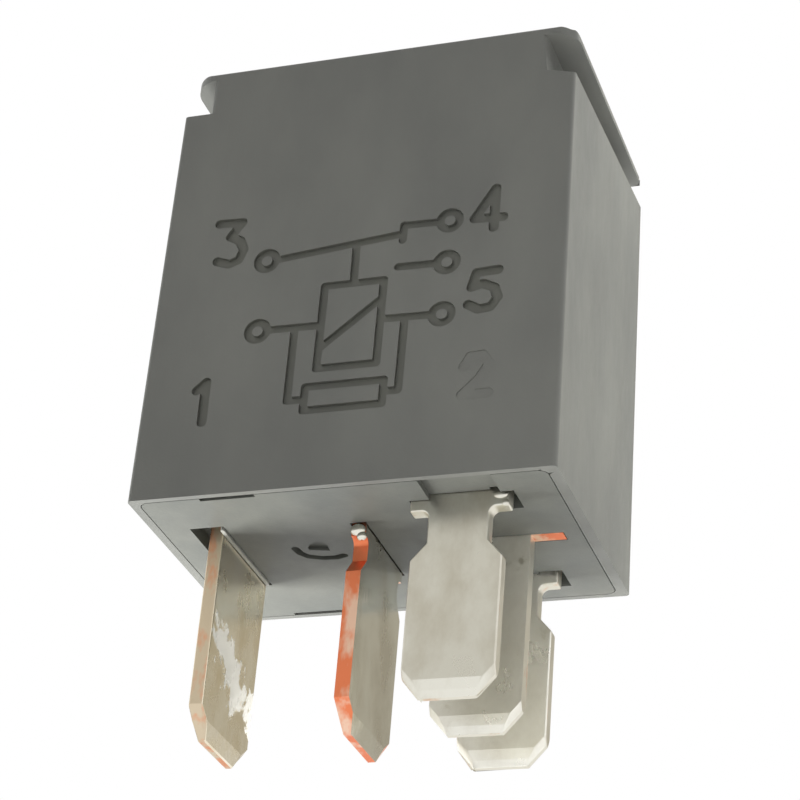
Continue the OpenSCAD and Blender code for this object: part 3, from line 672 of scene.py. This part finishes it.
class Finish(Enum):
    """The finishes of the relay's pieces, each with the record's slot that it belongs to."""

    COVER = ("cover_plastic", MouldedPlastic("moulded_pbt_cover", "#535451", "#5c5d59", 0.5))
    # Darker finish for the faces of the engraved grooves: painted shade.
    COVER_GROOVE = ("cover_plastic", MouldedPlastic("moulded_pbt_groove_painted_shade", "#464743", "#4e4f49",
                                                    0.42))
    BASE = ("base_plastic", MouldedPlastic("moulded_pbt_base", "#4b4d4a", "#575853", 0.46, 0.3))
    # Lighter finish for the rib beside the common blade: a painted highlight.
    BASE_RIDGE = ("base_plastic", MouldedPlastic("moulded_pbt_ridge_painted_highlight", "#7c7d78", "#8a8b85", 0.4))
    TIN = ("tinned_sheet", TinnedSheet("hot_tinned_strip"))
    # The small white patch on the common blade's face is a painted reflection.
    TIN_BROWN = ("tinned_sheet", TinnedSheet(
        "hot_tinned_strip_stained_painted_reflection", "#fbf3e0", "#e4d6b6", 0.2,
        Patch((-7.7, 0.0, -6.7), (0.25, 3.5, 1.25), -31)))
    TIN_SOFT = ("tinned_sheet", TinnedSheet("hot_tinned_strip_dull", roughness=0.27))
    TIN_WHITE = ("tinned_sheet", TinnedSheet(
        "hot_tinned_strip_with_flux", roughness=0.27,
        white_patch=Patch((5.8, 1.9, -7.0), (12.0, 8.0, 18.0), strength=0.26)))
    CUT_COPPER = ("tinned_sheet", ShearedCopper("sheared_edge_copper", "#ee8a60", "#f4cdb4", 0.42))
    CUT_TAN = ("tinned_sheet", ShearedCopper("sheared_edge_tan", "#e3a27c", "#d8c8ae", 0.66))
    CUT_TIN = ("tinned_sheet", ShearedCopper("sheared_edge_tinned", "#dcbda2", "#e4e0d2", 0.85))
    IRON = ("plated_iron", PlainMetal("zinc_plated_iron", "#b3b6b8", "#a3a7aa", 0.34, 0.4))
    BOBBIN = ("bobbin_plastic", MouldedPlastic("moulded_polyamide", "#d9d2bf", "#cfc7b1", 0.45))
    WIRE = ("enamelled_copper", Coating("enamelled_wire", "#a4562b", "#b76a37", 0.28, 0.75))
    LACQUER = ("resistor_lacquer", Coating(
        "resistor_lacquer", "#7d9bb0", "#7593a8", 0.3,
        bands=((-2.15, "#2d4f9c"), (-0.95, "#75787b"), (-0.2, "#5c3a22"), (2.15, "#a8863c"))))
    LEAD = ("tinned_wire", PlainMetal("tinned_wire", "#c9c9c5", "#b9b8b2", 0.25, 0.2))
    SILVER = ("contact_silver", PlainMetal("contact_silver", "#dcdcd8", "#cfcfca", 0.22, 0.1))
    RIVET = ("rivet_steel", PlainMetal("rivet_steel", "#b9bbbc", "#a9abac", 0.3, 0.15))
    BRONZE = ("spring_bronze", PlainMetal("rolled_bronze_strip", "#c9a05c", "#bd924f", 0.28, 0.12,
                                          0.004, (1.0, 0.05)))

    @property
    def slot(self) -> str:
        """The record's material slot."""
        return self.value[0]

    def material(self) -> bpy.types.Material:
        """The finish's material, built at its first use."""
        kind = self.value[1]
        return bpy.data.materials.get(kind.name) or kind.material()


def dress(piece: bpy.types.Object, *finishes: Finish) -> None:
    """Gives a piece its materials, the first for all faces that name no other."""
    piece.data.materials.clear()
    for finish in finishes:
        piece.data.materials.append(finish.material())


def stand_in(piece: bpy.types.Object, node: str) -> None:
    """Lets a piece stand for a CAD node of the housing and reports it."""
    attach(piece, HOUSING)
    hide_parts(node)
    LOG.info("%s stands for %s, %d faces", piece.name, node, len(piece.data.polygons))


# ------------------------------------------------------------------ cover


@dataclass
class Cover:
    """Moulded cover with tight corners and the circuit diagram engraved in its front face.

    The diagram's area is its half width, its bottom and its top. The foot stands out by the draft
    at both sides, and the right pull groove's floor hangs lower at its rim.
    """

    groove_w: float = 0.46
    groove_depth: float = 0.21
    diagram_area: Triple = (8.9, 3.6, 17.6)
    diagram_depth: float = 0.35
    largest_flat: float = 5.0
    pull_groove: Point = (1.4, 3.4)
    shoulder_reach: float = 1.4
    right_shoulder_drop: float = 0.45
    corner: Triple = (10.65, 6.9, 0.6)
    corner_r: float = 0.25
    lip_corner: Triple = (9.45, -5.8, 1.7)
    lip_corner_r: float = 1.3
    draft: float = 0.12
    draft_below: float = 0.5
    draft_strip: float = 0.26
    right_out: float = 0.12
    right_strip: float = 0.3
    ring_r: float = 0.53
    digit_w: float = 0.56
    faint_depth: float = 0.06
    rings: list[Point] = field(default_factory=lambda: [
        (-5.14, 13.87), (5.0, 15.1), (5.0, 12.52), (-5.2, 9.5), (4.95, 9.38)])
    circuit: list[list[Point]] = field(default_factory=lambda: [
        [(-4.45, 13.88), (2.45, 14.6)], [(2.47, 15.15), (2.47, 14.2)],
        [(2.47, 15.12), (4.3, 15.08)], [(2.35, 12.55), (4.3, 12.52)],
        [(-0.1, 14.2), (-0.06, 11.85)],
        [(-1.65, 11.85), (1.62, 11.85), (1.62, 6.85), (-1.65, 6.85), (-1.65, 11.85)],
        [(-1.55, 8.1), (1.55, 10.7)], [(-4.5, 9.5), (-1.7, 9.46)], [(1.65, 9.46), (4.25, 9.4)],
        [(-3.1, 9.45), (-3.08, 5.08), (-2.2, 5.06)], [(2.95, 9.42), (2.93, 5.12), (2.2, 5.12)],
        [(-2.15, 5.8), (2.12, 5.8), (2.12, 4.42), (-2.15, 4.42), (-2.15, 5.8)]])
    digits: list[list[Point]] = field(default_factory=lambda: [
        [(-8.24, 6.22), (-7.75, 6.68), (-7.72, 4.3)],
        [(-8.18, 16.62), (-6.85, 16.55), (-7.45, 15.7), (-6.86, 15.38), (-6.58, 14.78),
         (-6.8, 14.15), (-7.35, 13.93), (-8.05, 14.2)],
        [(7.42, 14.35), (7.42, 16.8), (6.35, 15.02), (7.9, 14.95)],
        [(7.84, 11.72), (6.68, 11.66), (6.46, 10.8), (7.06, 10.96), (7.68, 10.66),
         (7.9, 10.05), (7.55, 9.5), (6.9, 9.44), (6.33, 9.78)]])
    faint_digit: list[Point] = field(default_factory=lambda: [
        (6.36, 6.1), (6.68, 6.68), (7.32, 6.7), (7.68, 6.16), (7.22, 5.35), (6.34, 4.46),
        (7.74, 4.46)])

    def ring(self, centre: Point) -> list[Outline]:
        """Outlines of the pieces of a ring-shaped groove, a terminal in the diagram."""
        steps = 32
        spokes = [Vector((math.cos(turn), math.sin(turn)))
                  for turn in (2 * math.pi * i / steps for i in range(steps))]
        inner, outer = self.ring_r - self.groove_w / 2, self.ring_r + self.groove_w / 2
        middle = Vector(centre)
        return [[middle + inner * a, middle + outer * a, middle + outer * b, middle + inner * b]
                for a, b in zip(spokes, spokes[1:] + spokes[:1])]

    def engrave_diagram(self, piece: bpy.types.Object, low: Vector) -> None:
        """Engraves the circuit diagram, whose deeper grooves are painted darker than the face
        around them as painted shade.

        Args:
            piece: the cover.
            low: the lowest corner of its box.
        """
        front = Ground(Vector((0, low.y, 0)), Vector((1, 0, 0)), Vector((0, 0, 1)),
                       Vector((0, 1, 0)))
        grooves = [outline for points in self.circuit
                   for outline in strokes(points, self.groove_w)]
        grooves += [outline for points in self.digits
                    for outline in strokes(points, self.digit_w)]
        grooves += [outline for centre in self.rings for outline in self.ring(centre)]
        engrave(piece, front, grooves, self.groove_depth)
        engrave(piece, front, strokes(self.faint_digit, self.digit_w), self.faint_depth)

        def in_field(place: Vector) -> bool:
            """Says whether a place lies within the diagram's field of the front face."""
            half, bottom, top = self.diagram_area
            return (place.y < low.y + mm(self.diagram_depth) and abs(place.x) < mm(half)
                    and mm(bottom) < place.z < mm(top))

        dress(piece, Finish.COVER, Finish.COVER_GROOVE)
        # Faces deeper than the faint digit get the darker finish: painted shade in the grooves.
        painted_shade_from_y = low.y + mm(self.faint_depth + 2 * NEAR_MM)
        for face in piece.data.polygons:
            if in_field(face.center) and face.center.y > painted_shade_from_y:
                face.material_index = 1
        smooth(piece, flat=lambda face: in_field(face.center)
               and face.area < mm(self.largest_flat) ** 2)

    @staticmethod
    def move(piece: bpy.types.Object, test: PlaceTest, way_mm: Vector) -> None:
        """Moves the points of a piece whose place passes a test."""
        pick_points(piece, test)
        bpy.ops.transform.translate(value=way_mm / 1000)
        leave()

    def build(self) -> None:
        """Builds the cover and lets it stand for its CAD node."""
        piece = frame_copy("cover", "cover_moulding")
        low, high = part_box("cover")

        def on_right_shoulder(place: Vector) -> bool:
            """Says whether a place is on the rim of the right pull groove's floor."""
            under, over = self.pull_groove
            return (high.x - place.x < mm(self.shoulder_reach)
                    and mm(under) < high.z - place.z < mm(over))

        x, y, radius = self.corner
        for centre in ((x, y), (x, -y), (-x, y), (-x, -y)):
            tighten(piece, centre, radius, self.corner_r)
        tighten(piece, self.lip_corner[:2], self.lip_corner[2], self.lip_corner_r)
        self.move(piece, lambda place: place.x > high.x - mm(self.right_strip),
                  Vector((self.right_out, 0, 0)))
        for side in (1, -1):
            self.move(piece, lambda place: place.z < mm(self.draft_below)
                      and place.x * side > high.x - mm(self.draft_strip),
                      Vector((side * self.draft, 0, 0)))
        self.move(piece, on_right_shoulder, Vector((0, 0, -self.right_shoulder_drop)))
        self.engrave_diagram(piece, low)
        stand_in(piece, "cover")


# ------------------------------------------------------------------ base


@dataclass
class Base:
    """Moulded base with a plain moulding mark and a rib beside the common blade, whose faces are
    painted lighter as a painted highlight.
    """

    mark_w: float = 0.46
    mark_depth: float = 0.4
    arc: list[Point] = field(default_factory=lambda: [
        (-4.55, -0.82), (-4.47, -0.29), (-4.2, 0.14), (-3.47, 0.45), (-2.72, 0.5),
        (-2.24, 0.33)])
    dome: list[Point] = field(default_factory=lambda: [
        (-3.86, -0.6), (-3.84, -0.86), (-3.58, -1.2), (-3.16, -1.52), (-2.86, -1.44),
        (-2.72, -0.95), (-2.78, -0.33)])
    rib: tuple[Point, Point] = ((-7.57, -3.62), (-7.57, 2.95))
    rib_w: float = 0.2
    rib_heights: Point = (-0.1, 1.0)
    highlight_half: float = 0.11
    highlight_top: float = 0.6

    def add_rib(self, piece: bpy.types.Object) -> None:
        """Adds the thin rib that stands in the pocket beside the common blade."""
        bpy.ops.mesh.primitive_cylinder_add(vertices=16, radius=mm(self.rib_w / 2),
                                            depth=mm(self.rib_heights[1] - self.rib_heights[0]))
        rib = named("rib")
        pick_points(rib, lambda place: place.y > 0)
        bpy.ops.transform.translate(value=(0, mm(self.rib[1][1] - self.rib[0][1]), 0))
        leave()
        rib.location = (mm(self.rib[0][0]), mm(self.rib[0][1]), mm(sum(self.rib_heights) / 2))
        settle(rib)
        modify(piece, "BOOLEAN", operation="UNION", object=rib, solver="EXACT")
        bpy.data.objects.remove(rib)

    def build(self) -> None:
        """Builds the base and lets it stand for its CAD node."""
        piece = frame_copy("base", "base_moulding")
        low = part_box("base")[0]
        under = Ground(Vector((0, 0, low.z)), Vector((1, 0, 0)), Vector((0, 1, 0)),
                       Vector((0, 0, 1)))

        engrave(piece, under, strokes(self.arc, self.mark_w), self.mark_depth)
        engrave(piece, under, [[Vector(point) for point in self.dome]], self.mark_depth / 2)
        self.add_rib(piece)
        dress(piece, Finish.BASE, Finish.BASE_RIDGE)
        smooth(piece)
        # The rib's faces get the lighter finish: a painted highlight.
        for face in piece.data.polygons:
            aside = abs(face.center.x - mm(self.rib[0][0]))
            if aside < mm(self.highlight_half) and face.center.z < mm(self.highlight_top):
                face.material_index = 1
        stand_in(piece, "base")


# ------------------------------------------------------------------ terminals


@dataclass(frozen=True)
class Blade:
    """How a blade is finished after punching: its coining and its outline's small shifts.

    Each shift names the lowest and the highest height that it moves, how far they go up and how
    far outwards.
    """

    coin_h: float
    corner_coin_h: float
    coin_depth: float
    shifts: tuple[tuple[float, float, float, float], ...]


class Outfit(Enum):
    """The blades' three shapes."""

    WIDE = Blade(0.5, 0.0, 0.15, ((-12.0, -11.0, 0.0, 0.4), (-9.5, -9.3, -0.2, 0.0)))
    NARROW = Blade(0.75, 0.3, 0.25, ((-12.0, -9.9, 0.4, 0.0),))
    COIL = Blade(0.75, 0.3, 0.25, ((-12.0, -9.9, 0.4, 0.0), (-2.8, -1.7, -0.6, 0.0)))


@dataclass
class Terminal:
    """Punched terminal: tinned faces, coined tip, rounded outline and a bare or smeared edge.

    The part below outside_z is finished; above it the strip runs on inside the relay. The tip's
    flat faces are those below a height and larger than a square. The planer that coins the tip is
    given by its length, its other sides and how far up the slope its middle sits.
    """

    node: str
    faces_along: Vector
    outfit: Outfit
    edge: Finish
    face: Finish = Finish.TIN
    beads: tuple[Bead, ...] = ()
    edge_r: float = 0.1
    outside_z: float = 1.2
    shoulder_half: float = 0.1
    tip_h: float = 3.0
    tip_flat: tuple[float, float] = (-9.0, 0.4)
    planer: Triple = (12.0, 2.0, 0.3)

    def shift(self, piece: bpy.types.Object) -> None:
        """Moves the heights of the blade's outline that its outfit names."""
        across = Vector((abs(self.faces_along.y), abs(self.faces_along.x), 0))
        for low, high, up, out in self.outfit.value.shifts:
            for point in piece.data.vertices:
                if mm(low) < point.co.z < mm(high):
                    side = math.copysign(1, point.co.dot(across))
                    point.co += Vector((0, 0, mm(up))) + across * side * mm(out)

    def plane_off(self, piece: bpy.types.Object, foot: Vector, slope: Vector,
                  outward: Vector) -> None:
        """Takes off what lies outside a sloping plane.

        Args:
            piece: the terminal.
            foot: the slope's lower end.
            slope: the way up the slope.
            outward: the way out of the sheet, square to the slope.
        """
        length, size, beyond = self.planer
        bpy.ops.mesh.primitive_cube_add(size=mm(size))
        cutter = named("coin")
        cutter.scale = (length / size, 1, 1)
        cutter.rotation_euler = Matrix(
            (slope.cross(outward), slope, outward)).transposed().to_euler()
        cutter.location = foot + outward * mm(size / 2) + slope * mm(beyond)
        settle(cutter)
        cut(piece, cutter)

    def coin(self, piece: bpy.types.Object) -> None:
        """Slopes both faces of the sheet towards the blade's end and its two cut corners."""
        blade = self.outfit.value
        points = [point.co for point in piece.data.vertices]
        floor = min(point.z for point in points)
        tip = [point for point in points if point.z < floor + mm(self.tip_h)]
        along = self.faces_along
        across = Vector((abs(along.y), abs(along.x), 0))
        faces = [max(point.dot(along) for point in tip), min(point.dot(along) for point in tip)]
        end = [point.dot(across) for point in tip if point.z < floor + mm(NEAR_MM)]
        sides = [point.dot(across) for point in tip]
        corner_z = min(point.z for point in tip if point.dot(across) > max(sides) - mm(NEAR_MM))
        up = Vector((0, 0, 1))
        outline = [(min(end), max(end), floor, floor, blade.coin_h)]
        if blade.corner_coin_h:
            outline += [(max(end), max(sides), floor, corner_z, blade.corner_coin_h),
                        (min(sides), min(end), corner_z, floor, blade.corner_coin_h)]
        for left, right, left_z, right_z, height in outline:
            run = (across * (right - left) + up * (right_z - left_z)).normalized()
            inward = run.cross(along) if run.cross(along).z > 0 else along.cross(run)
            middle = across * (left + right) / 2 + up * (left_z + right_z) / 2
            for face, side in zip(faces, (1, -1)):
                slope = (inward * height + along * side * blade.coin_depth).normalized()
                outward = (along * side - inward * blade.coin_depth / height).normalized()
                foot = middle + along * (face - side * mm(blade.coin_depth))
                self.plane_off(piece, foot, slope, outward)

    def add_beads(self, piece: bpy.types.Object) -> None:
        """Adds the small frozen drops of tin, each given by its middle and its half sizes."""
        for middle, half in self.beads:
            bpy.ops.mesh.primitive_ico_sphere_add(subdivisions=3, radius=mm(1))
            bead = named("bead")
            bead.scale = half
            bead.location = Vector(middle) / 1000
            settle(bead)
            modify(piece, "BOOLEAN", operation="UNION", object=bead, solver="EXACT")
            bpy.data.objects.remove(bead)

    def build(self) -> None:
        """Builds the terminal and lets it stand for its CAD node."""
        piece = frame_copy(self.node, self.node + "_strip")
        self.shift(piece)
        self.coin(piece)
        dress(piece, self.face, self.edge, Finish.CUT_COPPER)
        for side in piece.data.polygons:
            side.material_index = 0
            punched = abs(side.normal.dot(self.faces_along)) < 0.5
            if punched and side.center.z < mm(self.outside_z):
                side.material_index = 2 if abs(side.center.z) < mm(self.shoulder_half) else 1
        soften(piece, mm(self.edge_r), lambda place: place.z < mm(self.outside_z), rounds=3)
        self.add_beads(piece)
        highest, smallest = self.tip_flat
        smooth(piece, flat=lambda face: face.center.z < mm(highest)
               and face.area > mm(smallest) ** 2)
        stand_in(piece, self.node)


@dataclass
class Terminals:
    """The five blade terminals."""

    along_x: Vector = field(default_factory=lambda: Vector((1, 0, 0)))
    along_y: Vector = field(default_factory=lambda: Vector((0, 1, 0)))
    contact_beads: tuple[Bead, ...] = (((-0.22, -3.14, -0.36), (0.42, 0.2, 0.34)),
                            ((0.02, -3.12, -0.74), (0.28, 0.18, 0.26)))
    coil_beads: tuple[Bead, ...] = (((7.95, -4.98, 0.02), (0.38, 0.14, 0.24)),
                         ((8.2, -4.96, -0.46), (0.2, 0.14, 0.2)))

    def build(self) -> None:
        """Builds the five terminals."""
        for terminal in (
                Terminal("terminal_common", self.along_x, Outfit.WIDE, Finish.CUT_TAN,
                         Finish.TIN_BROWN),
                Terminal("terminal_no", self.along_x, Outfit.WIDE, Finish.CUT_COPPER,
                         Finish.TIN, self.contact_beads),
                Terminal("terminal_nc", self.along_y, Outfit.NARROW, Finish.CUT_TIN,
                         Finish.TIN_WHITE),
                Terminal("terminal_coil_front", self.along_y, Outfit.COIL, Finish.CUT_TIN,
                         Finish.TIN_SOFT, self.coil_beads),
                Terminal("terminal_coil_back", self.along_y, Outfit.COIL, Finish.CUT_TIN,
                         Finish.TIN_WHITE)):
            terminal.build()


# ------------------------------------------------------------------ mechanism


@dataclass
class Mechanism:
    """Coil, yoke, contacts and armature inside the cover, and the contact spring."""

    finishes: dict[str, Finish] = field(default_factory=lambda: {
        "yoke": Finish.IRON, "core": Finish.IRON, "armature": Finish.IRON,
        "bobbin": Finish.BOBBIN, "winding": Finish.WIRE, "coil_lead_start": Finish.WIRE,
        "coil_lead_finish": Finish.WIRE, "resistor_body": Finish.LACQUER,
        "resistor_lead_front": Finish.LEAD, "resistor_lead_back": Finish.LEAD,
        "fixed_contact_no": Finish.SILVER, "fixed_contact_nc": Finish.SILVER,
        "moving_contact": Finish.SILVER, "yoke_rivets": Finish.RIVET,
        "armature_rivets": Finish.RIVET})
    bend_below: float = 3.4
    bend_past: Point = (1.8, 1.9)
    spring_smooth_deg: float = 30.0

    def build_spring(self) -> None:
        """Builds the contact spring from its CAD node, with its faces split once."""
        piece = frame_copy("contact_spring", "contact_spring_strip")
        modify(piece, "TRIANGULATE")
        only(piece)
        bpy.ops.object.mode_set(mode="EDIT")
        bpy.ops.mesh.select_all(action="SELECT")
        bpy.ops.mesh.subdivide(number_cuts=1)
        leave()
        smooth(piece, self.spring_smooth_deg)
        dress(piece, Finish.BRONZE)
        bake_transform(piece)
        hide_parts("contact_spring")

    def build(self) -> None:
        """Dresses the CAD nodes and builds the spring."""
        for node, finish in self.finishes.items():
            dress(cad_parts[node], finish)
            LOG.info("%s has the finish %s", node, finish.name)
        self.build_spring()


# ------------------------------------------------------------------ stage


@dataclass
class Lamp:
    """A soft square lamp that looks at the relay's middle."""

    name: str
    place_mm: Triple
    size_mm: float
    power: float
    colour: str = "#ffffff"

    def build(self, target: Vector) -> None:
        """Builds the lamp, turned to the target."""
        place = Vector(self.place_mm) / 1000
        turn = (target - place).to_track_quat("-Z", "Y").to_euler()
        bpy.ops.object.light_add(type="AREA", location=place, rotation=turn)
        lamp = bpy.context.view_layer.objects.active
        lamp.name = self.name
        lamp.data.size = mm(self.size_mm)
        lamp.data.energy = self.power
        lamp.data.color = hex_linear(self.colour)[:3]
        lamp.visible_glossy = False
        lamp.visible_camera = False


@dataclass
class Stage:
    """Pale floor under the blades, white surroundings, soft lamps and the camera."""

    floor_mm: float = 900.0
    floor_colour: str = "#f4f3f0"
    ambient: str = "#8a8a8a"
    cards: tuple[tuple[str, Triple, str], ...] = (("card_front", (-95, -250, 150), "#d4d2cc"),
                    ("card_back", (105, 255, 150), "#b2ada0"))
    card_mm: float = 260.0
    camera_place: Vector = field(default_factory=lambda: Vector((41.79133, -109.58051, -56.59111)))
    camera_rows: tuple[Triple, ...] = ((0.94672656, 0.31267219, 0.07710326),
                          (-0.08977067, 0.48616369, -0.86924455),
                          (-0.3092734, 0.8160153, 0.48833288))
    focal_mm: float = 111.713
    lamps: tuple[Lamp, ...] = (
        Lamp("lamp_right", (85, 75, 130), 90, 0.85),
        Lamp("lamp_low_left", (-42, 2, -30), 26, 0.095),
        Lamp("lamp_front", (-20, -190, 40), 160, 0.07),
        Lamp("lamp_top", (-40, 60, 220), 200, 0.5))

    def floor_material(self) -> bpy.types.Material:
        """Pale floor that is seen and gives shade only from above.

        The low camera and the low lamp look through it.
        """
        material, tree = blank("pale_floor")
        facing = add_node(tree, "ShaderNodeNewGeometry").outputs["Backfacing"]
        path = add_node(tree, "ShaderNodeLightPath").outputs
        clear = largest(tree, facing, path["Is Shadow Ray"], path["Is Glossy Ray"])
        matt = add_node(tree, "ShaderNodeBsdfDiffuse", {"Color": hex_linear(self.floor_colour)})
        through = add_node(tree, "ShaderNodeBsdfTransparent")
        both = add_node(tree, "ShaderNodeMixShader", {
            0: clear, 1: matt.outputs[0], 2: through.outputs[0]})
        add_node(tree, "ShaderNodeOutputMaterial", {"Surface": both.outputs[0]})
        return material

    def build_floor(self) -> None:
        """Lays the floor at the blades' tips."""
        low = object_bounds()[0]
        bpy.ops.mesh.primitive_plane_add(size=mm(self.floor_mm), location=(0, 0, low[2]))
        floor = named("floor")
        floor.data.materials.append(self.floor_material())
        floor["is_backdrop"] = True

    def build_card(self, name: str, place_mm: Triple, colour: str) -> None:
        """Hangs a grey card that is seen only in reflections.

        Args:
            name: the card's name.
            place_mm: its middle; the card is square to the line from there to the origin.
            colour: the colour that it shows.
        """
        place = Vector(place_mm) / 1000
        turn = place.to_track_quat("Z", "Y").to_euler()
        bpy.ops.mesh.primitive_plane_add(size=mm(self.card_mm), location=place, rotation=turn)
        card = named(name)
        material, tree = blank(name)
        glow = add_node(tree, "ShaderNodeEmission", {"Color": hex_linear(colour)})
        add_node(tree, "ShaderNodeOutputMaterial", {"Surface": glow.outputs[0]})
        card.data.materials.append(material)
        for ray in ("camera", "diffuse", "transmission", "volume_scatter", "shadow"):
            setattr(card, "visible_" + ray, False)
        card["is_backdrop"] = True

    def build_world(self) -> None:
        """White surroundings for the camera and for reflections, and a grey ambient light."""
        world = bpy.data.worlds.new("white_surroundings")
        world.use_nodes = True
        tree = world.node_tree
        tree.nodes.clear()
        path = add_node(tree, "ShaderNodeLightPath").outputs
        seen = largest(tree, path["Is Camera Ray"], path["Is Glossy Ray"],
                       path["Is Transmission Ray"])
        light = add_node(tree, "ShaderNodeBackground", {"Color": hex_linear(self.ambient)})
        white = add_node(tree, "ShaderNodeBackground", {"Color": (1, 1, 1, 1)})
        both = add_node(tree, "ShaderNodeMixShader", {
            0: seen, 1: light.outputs[0], 2: white.outputs[0]})
        add_node(tree, "ShaderNodeOutputWorld", {"Surface": both.outputs[0]})
        bpy.context.scene.world = world

    def build_camera(self) -> None:
        """Sets the camera low in front of the relay, a little to the right."""
        right, down, ahead = (Vector(row) for row in self.camera_rows)
        turn = Matrix((right, -down, -ahead)).transposed()
        bpy.ops.object.camera_add(location=self.camera_place / 1000, rotation=turn.to_euler())
        camera = bpy.context.view_layer.objects.active
        camera.name = "camera"
        camera.data.sensor_width = 36.0
        camera.data.lens = self.focal_mm
        camera.data.clip_start = mm(5)
        camera.data.clip_end = 10.0
        bpy.context.scene.camera = camera

    def build(self) -> None:
        """Builds the whole stage."""
        self.build_floor()
        for facts in self.cards:
            self.build_card(*facts)
        self.build_world()
        self.build_camera()
        low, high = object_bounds()
        target = (Vector(low) + Vector(high)) / 2
        for lamp in self.lamps:
            lamp.build(target)
        bpy.context.scene.view_settings.view_transform = "Standard"


def main() -> None:
    """Builds the relay's pieces in order."""
    logging.basicConfig(level=logging.INFO, format="%(name)s: %(message)s")
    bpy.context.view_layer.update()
    Cover().build()
    Base().build()
    Terminals().build()
    Mechanism().build()
    Stage().build()


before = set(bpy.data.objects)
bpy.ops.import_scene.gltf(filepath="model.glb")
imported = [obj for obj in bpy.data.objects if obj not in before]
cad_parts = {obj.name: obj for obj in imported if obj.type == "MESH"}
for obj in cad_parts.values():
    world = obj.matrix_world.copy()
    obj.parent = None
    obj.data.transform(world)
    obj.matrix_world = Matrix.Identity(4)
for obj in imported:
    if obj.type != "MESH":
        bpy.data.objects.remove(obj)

if __name__ == "__main__":
    main()
